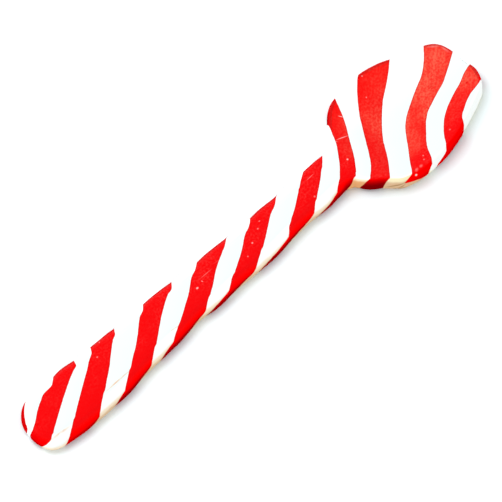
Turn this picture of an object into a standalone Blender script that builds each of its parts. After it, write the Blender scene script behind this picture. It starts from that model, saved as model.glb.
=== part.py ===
"""Candy cane spoon: one pressed piece of boiled sugar with red and white stripes.

It lies on its back, as on a table. +X runs from the handle's round end to the tip of the
bowl, +Y runs across it and +Z points up out of the bowl. The origin is on the table, under
the middle of the spoon's box. Sizes are in metres.
"""

import math
from collections import namedtuple

import bmesh
import bpy
from mathutils import Vector

MM = 0.001

# Driving dimensions of the outline, seen from above.
LENGTH = 140.0 * MM
HANDLE_END_WIDTH = 14.8 * MM
NECK_WIDTH = 10.0 * MM
END_ROUNDING = 6.9 * MM  # length over which the handle's end rounds off
BOWL_WIDTH = 28.5 * MM
BOWL_FRONT = 25.3 * MM  # from the bowl's widest place forward to its tip
BOWL_REAR = 15.3 * MM  # from there back to where the bowl alone would close
NECK_FROM_TIP = 42.0 * MM

# Driving dimensions of what pressing by hand leaves out of true.
TIP_SKEW = 0.14  # the blunt tip stands a little askew, further out on its -Y side
TIP_SKEW_POWER = 10.0  # how closely that keeps to the tip
REAR_SKEW = 0.07  # the bowl's rear stands askew the other way
HANDLE_LEAN = 0.008  # the handle drifts to +Y towards the neck, as a slope
LEAN_PIVOT_X = -35.0 * MM  # where the leaning handle crosses the middle line

# Driving dimensions of the thickness, from the table up.
HANDLE_HEIGHT = 5.0 * MM
HANDLE_CROWN = 0.2 * MM  # how much higher the handle's top is along its middle
RIM_HEIGHT = 6.0 * MM
BOWL_FLOOR = 2.5 * MM  # candy left under the deepest place of the hollow

# How full each rounding is: 2 is an ellipse, and more is squarer. (along, across) the spoon.
END_POWERS = (2.2, 2.4)
REAR_POWERS = (2.0, 2.0)
TIP_POWERS = (1.4, 3.1)
NECK_POWER = 6.0  # how tightly the handle's side turns into the bowl's
HOLLOW_POWER = 2.4

# The edge between top and underside is a rounding above the parting level, where the halves
# of the mould meet and the spoon is widest, and another one below it.
Edge = namedtuple("Edge", "top parting shoulder shoulder_power heel heel_power")
HANDLE_EDGE = Edge(HANDLE_HEIGHT, 1.8 * MM, 2.7 * MM, 1.9, 1.8 * MM, 2.0)
BOWL_EDGE = Edge(RIM_HEIGHT, 1.2 * MM, 1.2 * MM, 2.7, 4.5 * MM, 2.0)
EDGE_CHANGE = (-7.0 * MM, 9.0 * MM)  # where one turns into the other, from the neck
HOLLOW_START = 1.0 * MM  # from the neck, where the handle's top begins to dip

# The stripes wind round the spoon as they do round a candy cane.
STRIPE_PITCH = 16.4 * MM  # from one red stripe to the next along the handle
RED_SHARE = 0.45
STRIPE_START = 0.46  # share of a pitch by which the first stripe is moved on
TURNING_RADIUS = 0.2 * MM  # least half width over which a stripe still winds, at the two ends
RED = (0.90, 0.004, 0.008, 1.0)
WHITE = (0.90, 0.93, 0.92, 1.0)

# How finely the faces follow the shape.
STATIONS = 128  # steps along each side
SHOULDER_STEPS = 5
HEEL_STEPS = 4
TOP_COLUMNS = 18
UNDERSIDE_COLUMNS = 4
DENSE_STEPS = 4000  # steps of the curve that the even stations are read from

END_X = -0.5 * LENGTH
TIP_X = 0.5 * LENGTH
WIDEST_X = TIP_X - BOWL_FRONT
NECK_X = TIP_X - NECK_FROM_TIP


def mix(a, b, share):
    return a + (b - a) * share


def smooth_step(start, end, x):
    """0 up to start and 1 from end on, with no kink at either."""
    t = min(max((x - start) / (end - start), 0.0), 1.0)
    return t * t * (3.0 - 2.0 * t)


def quarter_oval(t, powers):
    """Half width of a rounding: 1 where it starts, at t = 0, and 0 where it ends, at t = 1."""
    along, across = powers
    return (1.0 - min(t, 1.0) ** along) ** (1.0 / across)


def handle_half_width(x):
    width = mix(HANDLE_END_WIDTH, NECK_WIDTH, smooth_step(END_X, NECK_X, x))
    rounding = max(END_X + END_ROUNDING - x, 0.0) / END_ROUNDING
    return 0.5 * width * quarter_oval(rounding, END_POWERS)


def bowl_half_width(x):
    if x > WIDEST_X:
        return 0.5 * BOWL_WIDTH * quarter_oval((x - WIDEST_X) / BOWL_FRONT, TIP_POWERS)
    return 0.5 * BOWL_WIDTH * quarter_oval((WIDEST_X - x) / BOWL_REAR, REAR_POWERS)


def half_width(x):
    """The outline. Adding powers of the two widths joins them with a small fillet."""
    handle = handle_half_width(x) * (1.0 - smooth_step(NECK_X, WIDEST_X, x))
    total = handle**NECK_POWER + bowl_half_width(x) ** NECK_POWER
    return total ** (1.0 / NECK_POWER)


def outline_side():
    """Evenly spaced points of the outline's +Y side, from the handle's end to the tip."""
    dense = []
    for step in range(DENSE_STEPS + 1):
        x = mix(END_X, TIP_X, 0.5 - 0.5 * math.cos(math.pi * step / DENSE_STEPS))
        dense.append(Vector((x, half_width(x), 0.0)))
    travelled = [0.0]
    for before, after in zip(dense, dense[1:]):
        travelled.append(travelled[-1] + (after - before).length)
    points = []
    nearest = 0
    for station in range(STATIONS + 1):
        wanted = travelled[-1] * station / STATIONS
        while travelled[nearest] < wanted:
            nearest += 1
        points.append(dense[nearest].copy())
    return points


def inward_directions(points):
    """At each point of the side, the level direction square to the outline and into the candy."""
    directions = []
    for i, point in enumerate(points):
        before = points[i - 1] if i > 0 else mirrored(points[1])
        after = points[i + 1] if i < len(points) - 1 else mirrored(points[-2])
        along = (after - before).normalized()
        directions.append(Vector((along.y, -along.x, 0.0)))
    return directions


def mirrored(point):
    return Vector((point.x, -point.y, point.z))


def out_of_true(place):
    """The place with the handle leaning and both ends of the bowl out of square."""
    x, y, z = place
    before_bowl = 1.0 - smooth_step(NECK_X, WIDEST_X, x)
    lean = HANDLE_LEAN * (x - LEAN_PIVOT_X) * before_bowl
    rear_share = before_bowl * smooth_step(NECK_X - 0.5 * BOWL_REAR, NECK_X, x)
    tip_share = (max(x - WIDEST_X, 0.0) / BOWL_FRONT) ** TIP_SKEW_POWER
    skew = REAR_SKEW * rear_share - TIP_SKEW * tip_share
    return Vector((x + skew * y, y + lean, z))


def bowl_share(x):
    """0 along the handle and 1 along the bowl."""
    return smooth_step(NECK_X + EDGE_CHANGE[0], NECK_X + EDGE_CHANGE[1], x)


def edge_at(x):
    """The edge's sizes at x, between those of the handle and those of the bowl."""
    share = bowl_share(x)
    return Edge(*(mix(a, b, share) for a, b in zip(HANDLE_EDGE, BOWL_EDGE)))


def rounding(width, height, power, share):
    """(inset, rise) at a share of the way round a rounding that starts upright."""
    angle = 0.5 * math.pi * share
    inset = width * (1.0 - max(math.cos(angle), 0.0) ** (2.0 / power))
    return inset, height * math.sin(angle) ** (2.0 / power)


def edge_rings():
    """Closed loops round the spoon, from the rim of the top down to the flat underside."""
    side = outline_side()
    inward = inward_directions(side)
    edges = [edge_at(point.x) for point in side]
    rings = []
    for step in range(SHOULDER_STEPS, -HEEL_STEPS - 1, -1):
        ring = []
        for point, direction, edge in zip(side, inward, edges):
            if step >= 0:
                above = edge.top - edge.parting
                share = step / SHOULDER_STEPS
                inset, rise = rounding(edge.shoulder, above, edge.shoulder_power, share)
            else:
                share = -step / HEEL_STEPS
                inset, fall = rounding(edge.heel, edge.parting, edge.heel_power, share)
                rise = -fall
            place = point + direction * inset
            place.z = edge.parting + rise
            ring.append(place)
        ring += [mirrored(place) for place in ring[-2:0:-1]]
        rings.append([out_of_true(place) for place in ring])
    return rings


def hollow_depth(x, across, rim_tip_x):
    """How far the bowl's inside lies below its rim; across is -1 and 1 at the rim."""
    if x > WIDEST_X:
        along = 1.0 - ((x - WIDEST_X) / (rim_tip_x - WIDEST_X)) ** HOLLOW_POWER
    else:
        along = smooth_step(NECK_X + HOLLOW_START, WIDEST_X, x)
    return (RIM_HEIGHT - BOWL_FLOOR) * along * (1.0 - abs(across) ** HOLLOW_POWER)


def top_place(left, right, share, rim_tip_x):
    """A point of the top, at a share of the way across from one rim point to the other."""
    place = left.lerp(right, share)
    across = 2.0 * share - 1.0
    crown = HANDLE_CROWN * ((left - right).length / HANDLE_END_WIDTH) ** 2
    place.z += crown * (1.0 - bowl_share(place.x)) * (1.0 - across * across)
    place.z -= hollow_depth(place.x, across, rim_tip_x)
    return place


def skin(bm, before, after):
    """Four-sided faces between two rows of vertices of the same length."""
    for i in range(len(before) - 1):
        bm.faces.new((before[i], before[i + 1], after[i + 1], after[i]))


def fill(bm, ring, columns, place_at):
    """Faces across the inside of a ring, in rows from its +Y side to its -Y side."""
    rows = []
    for station in range(1, STATIONS):
        left = ring[station]
        right = ring[-station]
        shares = [column / columns for column in range(1, columns)]
        places = [place_at(left.co, right.co, share) for share in shares]
        rows.append([left] + [bm.verts.new(place) for place in places] + [right])
    for before, after in zip(rows, rows[1:]):
        skin(bm, before, after)
    for end, row in ((ring[0], rows[0]), (ring[STATIONS], rows[-1])):
        for first, second in zip(row, row[1:]):
            bm.faces.new((end, first, second))


def spoon_mesh(name):
    """The whole spoon as one closed surface."""
    bm = bmesh.new()
    rings = [[bm.verts.new(place) for place in ring] for ring in edge_rings()]
    for upper, lower in zip(rings, rings[1:]):
        skin(bm, upper + upper[:1], lower + lower[:1])
    rim_tip_x = rings[0][STATIONS].co.x
    fill(
        bm,
        rings[0],
        TOP_COLUMNS,
        lambda left, right, share: top_place(left, right, share, rim_tip_x),
    )
    fill(bm, rings[-1], UNDERSIDE_COLUMNS, Vector.lerp)
    bmesh.ops.recalc_face_normals(bm, faces=bm.faces)
    mesh = bpy.data.meshes.new(name)
    bm.to_mesh(mesh)
    bm.free()
    mesh.shade_smooth()
    return mesh


def candy(name, colour):
    """Polished boiled sugar in one colour."""
    material = bpy.data.materials.new(name)
    material.use_nodes = True
    material.diffuse_color = colour
    shader = material.node_tree.nodes["Principled BSDF"]
    shader.inputs["Base Color"].default_value = colour
    shader.inputs["Roughness"].default_value = 0.3
    shader.inputs["Metallic"].default_value = 0.0
    return material


def is_red(centre, normal):
    """Whether a stripe passes here. One turn round the spoon moves a stripe on by two pitches."""
    across = centre.y / max(half_width(centre.x), TURNING_RADIUS)
    turned = 0.5 - 0.5 * across if normal.z >= 0.0 else 1.5 + 0.5 * across
    return (centre.x / STRIPE_PITCH + turned + STRIPE_START) % 1.0 < RED_SHARE


def paint_stripes(mesh):
    mesh.materials.append(candy("white candy", WHITE))
    mesh.materials.append(candy("red candy", RED))
    for face in mesh.polygons:
        face.material_index = int(is_red(face.center, face.normal))


def main():
    for old in list(bpy.data.objects):
        bpy.data.objects.remove(old, do_unlink=True)
    collection = bpy.data.collections.new("candy cane spoon")
    bpy.context.scene.collection.children.link(collection)
    mesh = spoon_mesh("spoon")
    paint_stripes(mesh)
    collection.objects.link(bpy.data.objects.new("spoon", mesh))


main()
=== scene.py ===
# %% [markdown]
# # A spoon of candy cane
#
# The real thing is one piece of boiled sugar. Red strands and white strands are laid side by
# side, twisted into a rope as for a candy cane, and pressed flat while they are still warm: a long
# handle with a round end, and a shallow bowl with a blunt tip.
#
# This lesson gives a measured but plain model its looks. It makes the spoon again as a fine mesh,
# to the same sizes within a fraction of a millimetre. Then it works out where every stripe runs,
# cooks up a material for the sugar, and lights the spoon as in a photograph on white. All lengths
# are millimetres until the mesh is made.

# %% Open the measured model
from collections import namedtuple

import bpy
import numpy as np
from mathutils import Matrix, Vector, noise


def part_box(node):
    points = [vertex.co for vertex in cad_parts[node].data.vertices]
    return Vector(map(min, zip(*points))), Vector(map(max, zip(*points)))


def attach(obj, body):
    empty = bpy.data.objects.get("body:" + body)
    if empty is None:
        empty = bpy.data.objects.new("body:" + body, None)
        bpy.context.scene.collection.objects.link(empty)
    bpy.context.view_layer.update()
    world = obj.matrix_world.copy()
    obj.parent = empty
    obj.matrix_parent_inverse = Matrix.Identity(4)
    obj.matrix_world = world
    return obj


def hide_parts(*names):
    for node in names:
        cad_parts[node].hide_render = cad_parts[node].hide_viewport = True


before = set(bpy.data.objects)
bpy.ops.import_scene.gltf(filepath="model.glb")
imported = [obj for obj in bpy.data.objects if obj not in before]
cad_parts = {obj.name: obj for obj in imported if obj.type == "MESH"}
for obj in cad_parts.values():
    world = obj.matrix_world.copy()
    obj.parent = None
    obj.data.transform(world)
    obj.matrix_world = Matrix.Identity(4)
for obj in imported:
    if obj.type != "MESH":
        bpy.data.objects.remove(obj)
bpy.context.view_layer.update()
MM = 0.001
low, high = (np.array(corner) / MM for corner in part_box("spoon"))
print("The measured spoon is", np.round(high - low, 2), "mm long, wide and high.")

# %% [markdown]
# ## The outline
#
# Seen from above, the spoon is a bar that rounds off at one end and opens into an oval at the
# other. Such a shape could be drawn as a free curve, but a formula keeps it editable: the handle
# and the bowl each have a half width at every place along the spoon, and adding high powers of
# the two joins them with the small fillet that shows at the neck.

# %% Sizes of the outline
LENGTH = 140.0
HANDLE_END_WIDTH = 14.8
NECK_WIDTH = 10.0
END_ROUNDING = 6.9
BOWL_WIDTH = 28.5
BOWL_FRONT = 25.3
BOWL_REAR = 15.3
NECK_FROM_TIP = 42.0
FILLET_POWER = 6

# how full each rounding is: the powers along and across it
END_POWERS = (2.2, 2.4)
FRONT_POWERS = (1.4, 3.1)
REAR_POWERS = (2.0, 2.0)

END_X = -0.5 * LENGTH
TIP_X = 0.5 * LENGTH
WIDEST_X = TIP_X - BOWL_FRONT
NECK_X = TIP_X - NECK_FROM_TIP
print("The neck is at", NECK_X, "and the bowl is widest at", WIDEST_X)


# %% How wide the spoon is at x
def mix(a, b, share):
    return a + (b - a) * share


def smooth_step(start, end, x):
    """0 up to start and 1 from end on, with no kink at either."""
    t = np.clip((x - start) / (end - start), 0.0, 1.0)
    return t * t * (3.0 - 2.0 * t)


def quarter_oval(t, along, across):
    """Half width of a rounding: 1 where it starts, at t = 0, and 0 where it ends, at t = 1."""
    return (1.0 - np.clip(t, 0.0, 1.0) ** along) ** (1.0 / across)


def half_width(x):
    handle = 0.5 * mix(HANDLE_END_WIDTH, NECK_WIDTH, smooth_step(END_X, NECK_X, x))
    handle = handle * quarter_oval((END_X + END_ROUNDING - x) / END_ROUNDING, *END_POWERS)
    handle = handle * (1.0 - smooth_step(NECK_X, WIDEST_X, x))
    front = quarter_oval((x - WIDEST_X) / BOWL_FRONT, *FRONT_POWERS)
    rear = quarter_oval((WIDEST_X - x) / BOWL_REAR, *REAR_POWERS)
    bowl = 0.5 * BOWL_WIDTH * np.where(x > WIDEST_X, front, rear)
    return (handle**FILLET_POWER + bowl**FILLET_POWER) ** (1.0 / FILLET_POWER)


print("At the handle's middle the spoon is", round(2.0 * float(half_width(-20.0)), 1), "mm wide.")

# %% [markdown]
# ## Points round the edge
#
# The mesh needs points at even steps round the outline, or the faces would be long in one place
# and cramped in another. The curve is first followed in very fine steps, then read off again at
# even distances. The points run from the handle's end along the far side (+Y) to the tip, and
# back along the near side (-Y), so one number, the way travelled, says where on the edge we are.

# %% The loop of the outline
STATIONS = 480
DENSE_STEPS = 6000


def outline_loop():
    spread = 0.5 - 0.5 * np.cos(np.linspace(0.0, np.pi, DENSE_STEPS))
    x = mix(END_X, TIP_X, spread)
    y = half_width(x)
    travelled = np.concatenate(([0.0], np.cumsum(np.hypot(np.diff(x), np.diff(y)))))
    even = np.linspace(0.0, travelled[-1], STATIONS + 1)
    side_x = np.interp(even, travelled, x)
    side_y = np.interp(even, travelled, y)
    return np.concatenate((side_x, side_x[-2:0:-1])), np.concatenate((side_y, -side_y[-2:0:-1]))


def inward(x, y):
    """Directions square to the loop and into the candy."""
    along_x = np.roll(x, -1) - np.roll(x, 1)
    along_y = np.roll(y, -1) - np.roll(y, 1)
    length = np.hypot(along_x, along_y)
    return along_y / length, -along_x / length


loop_x, loop_y = outline_loop()
in_x, in_y = inward(loop_x, loop_y)
FAR_SIDE = np.arange(2 * STATIONS) <= STATIONS
print("The loop has", len(loop_x), "points.")

# %% [markdown]
# ## Pressed by hand
#
# No pressed spoon is true to the drawing. Each red strand stands a little proud of the edge where
# it first comes over it, the bowl is squarer at its corners, and the handle leans by a hair.
# These tenths of a millimetre, nearly a whole one at most, tell a real spoon from a plastic one.
# They are listed here as places along each side and how far the edge stands out there. A sculpting
# brush would do too, but a list can be read and mended. At the spoon's two ends both sides' values
# are eased into each other, or the rows of points would fold over there.

# %% How far the edge stands out, at places along each side
FAR_SWELLS = (
    (-70, -0.1), (-69.3, -0.3), (-68, -0.35), (-66, -0.15), (-64.5, 0.0), (-57, 0.0),
    (-54, 0.28), (-52, 0.12), (-50, -0.04), (-44, -0.1), (-42, -0.17), (-39, -0.1),
    (-37.5, -0.18), (-28, -0.04), (-24, -0.02), (-20, -0.1), (-14, -0.15), (-11, -0.25),
    (-9, -0.13), (-3, -0.15), (6, -0.07), (8, 0.09), (13.5, 0.03), (22.5, 0.32), (26, 0.28),
    (28.5, 0.1), (34.5, -0.13), (36, 0.22), (38, 0.38), (40, 0.33), (44, 0.5), (48.8, 0.8),
    (51, 0.7), (54, 0.48), (56.5, 0.15), (60, 0.15), (65, 0.38), (67, 0.53), (68, 0.45),
    (69, 0.17), (69.5, -0.2), (70, -0.2),
)
NEAR_SWELLS = (
    (-70, 0.05), (-69.2, 0.3), (-68, 0.48), (-66, 0.25), (-64, 0.15), (-62, 0.37), (-59, 0.7),
    (-54, 0.87), (-48, 0.94), (-44, 0.8), (-42, 0.54), (-40, 0.32), (-36, 0.2), (-34, 0.3),
    (-30, 0.16), (-28, 0.12), (-24, -0.17), (-22, -0.36), (-20, -0.43), (-18, -0.07), (-16, 0.2),
    (-14, 0.26), (-9, 0.17), (-6, 0.27), (-4, 0.48), (-2, 0.7), (2, 0.79), (4, 0.76),
    (6, 0.65), (8, 0.44), (12, 0.19), (16, 0.15), (17, 0.31), (20, 0.42), (22, 0.46),
    (24, 0.19), (27, 0.0), (28, 0.0), (29.5, 0.74), (30.5, 0.72), (32, 0.36), (34, -0.3),
    (36, -0.1), (38, 0.5), (40, 0.37), (44, 0.23), (46, 0.26), (48, 0.45), (50, 0.55),
    (54, 0.37), (57, 0.29), (58, 0.06), (62, -0.13), (65, 0.0), (67, 0.2), (68.1, 0.26),
    (68.9, 0.08), (70, -0.1),
)
EASED_STATIONS = 10


def soft_line(places, x):
    """Straight lines between the places, rounded off where they meet."""
    xs, values = np.array(places).T
    nearby = (-0.6, -0.3, 0.0, 0.3, 0.6)
    return sum(np.interp(x + step, xs, values) for step in nearby) / len(nearby)


def joined_at_ends(values):
    """Let both sides' values run into each other at the spoon's two ends."""
    joined = values.copy()
    for end in (0, STATIONS):
        for k in range(EASED_STATIONS):
            both = 0.5 * (values[end + k] + values[end - k])
            own_share = k / EASED_STATIONS
            joined[end + k] = mix(both, values[end + k], own_share)
            joined[end - k] = mix(both, values[end - k], own_share)
    return joined


swell = np.where(FAR_SIDE, soft_line(FAR_SWELLS, loop_x), soft_line(NEAR_SWELLS, loop_x))
swell = joined_at_ends(swell)
edge_x = loop_x - in_x * swell
edge_y = loop_y - in_y * swell
print("The edge stands out by up to", round(float(swell.max()), 2), "mm.")

# %% The handle's lean and the bowl's skew
TIP_SKEW = 0.14
TIP_SKEW_POWER = 10
REAR_SKEW = 0.07
HANDLE_LEAN = 0.008
LEAN_PIVOT_X = -35.0


def out_of_true(x, y):
    """A place moved sideways by the lean and along by the skew."""
    before_bowl = 1.0 - smooth_step(NECK_X, WIDEST_X, x)
    lean = HANDLE_LEAN * (x - LEAN_PIVOT_X) * before_bowl
    rear_share = before_bowl * smooth_step(NECK_X - 0.5 * BOWL_REAR, NECK_X, x)
    tip_share = (np.maximum(x - WIDEST_X, 0.0) / BOWL_FRONT) ** TIP_SKEW_POWER
    return x + (REAR_SKEW * rear_share - TIP_SKEW * tip_share) * y, y + lean


moved_x, moved_y = out_of_true(edge_x, edge_y)
farthest = float(np.hypot(moved_x - edge_x, moved_y - edge_y).max())
print("Lean and skew move the edge by up to", round(farthest, 2), "mm.")

# %% [markdown]
# ## The rounded edge
#
# The side of the spoon is a rounding from the top down to the parting level, where it is widest,
# and another from there in to the flat underside. On the handle both are full, as on a rope that
# was pressed. Round the bowl the rim is sharper and the side goes steeply down. A bevel on a flat
# plate would give one radius everywhere, so each row of points is placed by its own angle.

# %% Sizes of the edge
Edge = namedtuple("Edge", "top parting shoulder shoulder_power heel heel_power")
HANDLE_EDGE = Edge(5.0, 1.8, 2.7, 1.9, 1.8, 2.0)
BOWL_EDGE = Edge(6.0, 1.2, 1.2, 2.7, 4.5, 2.0)
CHANGE_BEFORE_NECK = 7.0
CHANGE_PAST_NECK = 9.0
RIM_ANGLE = 90.0
SHOULDER_STEPS = 12
HEEL_STEPS = 8


def bowl_share(x):
    """0 along the handle and 1 along the bowl."""
    return smooth_step(NECK_X - CHANGE_BEFORE_NECK, NECK_X + CHANGE_PAST_NECK, x)


edge = Edge(*(mix(a, b, bowl_share(loop_x)) for a, b in zip(HANDLE_EDGE, BOWL_EDGE)))


# %% Rows of points down the edge
def edge_row(angle):
    """The points all round at one angle: 90 is the rim, 0 the parting, -90 the underside."""
    turn = np.radians(abs(angle))
    if angle >= 0.0:
        width, height, power = edge.shoulder, edge.top - edge.parting, edge.shoulder_power
    else:
        width, height, power = edge.heel, -edge.parting, edge.heel_power
    inset = width * (1.0 - max(np.cos(turn), 0.0) ** (2.0 / power))
    z = edge.parting + height * np.sin(turn) ** (2.0 / power)
    x, y = out_of_true(edge_x + in_x * inset, edge_y + in_y * inset)
    return np.stack((x, y, z), axis=1)


shoulder_angles = np.linspace(RIM_ANGLE, 0.0, SHOULDER_STEPS + 1)
heel_angles = np.linspace(0.0, -RIM_ANGLE, HEEL_STEPS + 1)[1:]
angles = np.concatenate((shoulder_angles, heel_angles))
edge_rows = np.stack([edge_row(angle) for angle in angles])
print("There are", len(angles), "rows of points from the rim to the underside.")

# %% [markdown]
# ## The top and the hollow of the bowl
#
# Between the rim's two sides the top is filled with rows of points straight across. On the handle
# they rise a little to the middle. In the bowl they dip: deepest in the middle, and up to the rim
# again at both sides and at the tip. An ellipsoid cut out of the top would leave a sharp edge,
# where pressed sugar goes down softly, so the depth is a formula of the way from rim to rim.

# %% Points of the top
TOP_COLUMNS = 60
HANDLE_CROWN = 0.2
RIM_HEIGHT = 6.0
BOWL_FLOOR = 2.5
HOLLOW_START = 1.0
HOLLOW_POWER = 2.4


def hollow_depth(x, across, rim_tip_x):
    """How far the bowl's inside lies below its rim; across is -1 and 1 at the rim."""
    reach = np.clip((x - WIDEST_X) / (rim_tip_x - WIDEST_X), 0.0, 1.0)
    front = 1.0 - reach**HOLLOW_POWER
    rear = smooth_step(NECK_X + HOLLOW_START, WIDEST_X, x)
    along = np.where(x > WIDEST_X, front, rear)
    return (RIM_HEIGHT - BOWL_FLOOR) * along * (1.0 - np.abs(across) ** HOLLOW_POWER)


def across_rows(row, columns):
    """Points inside a row of the edge: from its far side to its near side at each station."""
    far = row[1:STATIONS, None, :]
    near = row[:STATIONS:-1][:, None, :]
    share = np.linspace(0.0, 1.0, columns + 1)[1:-1][None, :, None]
    return far + (near - far) * share, 2.0 * share[..., 0] - 1.0, np.linalg.norm(near - far, axis=2)


rim = edge_rows[0]
top_points, across, row_width = across_rows(rim, TOP_COLUMNS)
top_x = top_points[..., 0]
crown = HANDLE_CROWN * (row_width / HANDLE_END_WIDTH) ** 2 * (1.0 - across**2)
top_points[..., 2] += crown * (1.0 - bowl_share(top_x))
top_points[..., 2] -= hollow_depth(top_x, across, rim[STATIONS, 0])

UNDERSIDE_COLUMNS = 18
under_points = across_rows(edge_rows[-1], UNDERSIDE_COLUMNS)[0]
print("The bowl's floor is", round(float(top_points[..., 2].min()), 2), "mm above the table.")

# %% [markdown]
# ## Where the stripes run
#
# Each border between red and white is one curve across the spoon. On the handle the borders slant
# as the twist left them, with a small step where they cross a ridge. In the bowl, where the
# rope was pressed out wide, they wave. A painted image could show them, but it would be tied to
# one view and one size. Every border is marked instead by a few points, x along the spoon and y
# across it, measured in the photograph from the far side to the near side and turned into
# millimetres, and a smooth curve goes through them.

# %% The borders, from the handle's end to the tip
BORDERS = (
    # the end's thin red cap
    ((-64.2, 7.3), (-65.9, 5.9), (-67.2, 4.6), (-68.15, 3.55), (-68.95, 2.3), (-69.4, 1.2),
     (-69.9, 0.85)),
    # first red stripe
    ((-55.2, 7.7), (-57.1, 5.9), (-58.5, 4.9), (-60.8, 4.65), (-62.5, 3.8), (-65.0, 2.4),
     (-67.3, 0.7), (-69.2, -0.3)),
    ((-49.8, 6.3), (-50.7, 4.6), (-52.0, 4.1), (-56.3, 1.8), (-61.9, -1.6), (-66.8, -4.7)),
    # second
    ((-44.1, 7.2), (-45.6, 5.0), (-46.4, 4.2), (-47.1, 3.8), (-50.2, 1.7), (-55.8, -2.0),
     (-60.9, -5.5), (-64.6, -8.0)),
    ((-37.8, 5.4), (-38.8, 4.1), (-39.7, 3.6), (-44.9, -0.7), (-50.2, -4.7), (-54.5, -7.9)),
    # third
    ((-27.6, 6.8), (-29.7, 4.5), (-30.6, 4.1), (-35.9, -0.3), (-40.7, -3.6), (-44.4, -6.2)),
    ((-19.0, 6.2), (-21.2, 3.8), (-22.4, 3.4), (-28.2, -0.3), (-31.6, -2.9), (-34.9, -5.3)),
    # fourth
    ((-10.6, 6.3), (-13.5, 3.9), (-15.6, 2.8), (-18.3, 0.7), (-23.4, -2.5), (-26.1, -4.1)),
    ((-2.4, 5.1), (-4.5, 3.4), (-7.1, 2.0), (-10.3, 0.1), (-13.05, -1.9), (-16.8, -4.3)),
    # fifth
    ((6.2, 6.3), (3.2, 3.4), (0.8, 2.2), (-2.1, 0.0), (-5.5, -2.0), (-7.9, -3.3), (-9.8, -4.5)),
    ((13.6, 5.1), (11.3, 3.2), (9.1, 2.0), (6.2, 0.0), (3.0, -2.2), (-0.5, -4.3)),
    # sixth
    ((22.9, 5.8), (20.4, 3.9), (16.9, 1.3), (13.2, -1.2), (11.6, -2.1), (9.2, -4.2)),
    ((28.0, 4.7), (26.3, 2.9), (22.1, -0.5), (19.95, -2.1), (17.6, -4.0)),
    # first stripe of the bowl
    ((34.5, 10.6), (33.75, 8.0), (32.75, 5.3), (31.95, 3.9), (28.9, -0.3), (26.7, -2.5),
     (24.8, -4.0)),
    ((40.4, 14.5), (38.6, 8.9), (35.5, 3.1), (33.8, 0.1), (31.8, -2.8), (30.0, -4.7)),
    # second
    ((49.2, 15.2), (45.6, 11.6), (42.7, 7.9), (40.1, 3.6), (37.3, -1.1), (34.8, -4.7),
     (32.3, -7.2)),
    ((57.5, 13.1), (54.4, 10.2), (51.8, 8.2), (48.8, 6.1), (45.3, 2.7), (42.4, -0.8),
     (39.9, -4.9), (37.2, -8.6), (35.8, -10.4)),
    # third
    ((65.4, 10.3), (62.2, 6.5), (59.4, 4.4), (55.8, 2.7), (52.7, 1.0), (49.8, -0.7),
     (47.7, -2.8), (45.3, -6.1), (42.6, -9.8), (40.4, -12.8)),
    ((68.1, 3.0), (64.8, 1.1), (61.8, -0.5), (59.4, -1.3), (57.0, -2.1), (53.9, -3.6),
     (51.0, -6.4), (48.2, -9.7), (46.9, -12.2)),
    # fourth, at the tip
    ((69.4, -1.8), (67.8, -2.1), (64.1, -3.5), (61.35, -4.4), (58.1, -5.8), (55.2, -7.9),
     (52.6, -10.8), (51.2, -13.0)),
    ((69.9, -5.7), (67.6, -6.8), (64.4, -7.3), (61.2, -8.8), (58.6, -10.7), (58.0, -12.8)),
)
print("There are", len(BORDERS), "borders between red and white.")


# %% A smooth curve through a border's points
def border_x(points, y):
    """Where a border crosses y. It is straight beyond its first and last points."""
    xs, ys = np.array(points)[::-1].T
    rises = np.diff(xs) / np.diff(ys)
    same_way = rises[:-1] * rises[1:] > 0.0
    total = np.where(same_way, rises[:-1] + rises[1:], 1.0)
    inner = np.where(same_way, 2.0 * rises[:-1] * rises[1:] / total, 0.0)
    slopes = np.concatenate((rises[:1], inner, rises[-1:]))
    i = np.clip(np.searchsorted(ys, y) - 1, 0, len(ys) - 2)
    gap = ys[i + 1] - ys[i]
    t = np.clip((y - ys[i]) / gap, 0.0, 1.0)
    ease = t * t * (3.0 - 2.0 * t)
    bend = t * (1.0 - t) ** 2 * slopes[i] - t * t * (1.0 - t) * slopes[i + 1]
    beyond = slopes[0] * np.minimum(y - ys[0], 0.0) + slopes[-1] * np.maximum(y - ys[-1], 0.0)
    return mix(xs[i], xs[i + 1], ease) + gap * bend + beyond


# %% The nick in a border where it crosses a ridge of the handle
FAR_RIDGE = 2.6
NEAR_RIDGE = 2.5
FAR_NICK = 0.16
NEAR_NICK = 0.24
NICK_WIDTH = 0.12
NICK_FADE = 0.8


def nicks(x, y):
    """A small sideways step at both ridges, which fades away on either side of them."""
    past_far = FAR_RIDGE - (half_width(x) - y)
    past_near = NEAR_RIDGE - (half_width(x) + y)
    far_step = FAR_NICK * np.tanh(past_far / NICK_WIDTH) * np.exp(-np.abs(past_far) / NICK_FADE)
    near_step = NEAR_NICK * np.tanh(past_near / NICK_WIDTH) * np.exp(-np.abs(past_near) / NICK_FADE)
    return (far_step - near_step) * (1.0 - bowl_share(x))


# %% Which stripe a place lies in
BEFORE_FIRST = 8.0
BEYOND_LAST = 12.0
LEAST_BAND = 0.05
SLANT_STEP = 0.1


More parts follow.
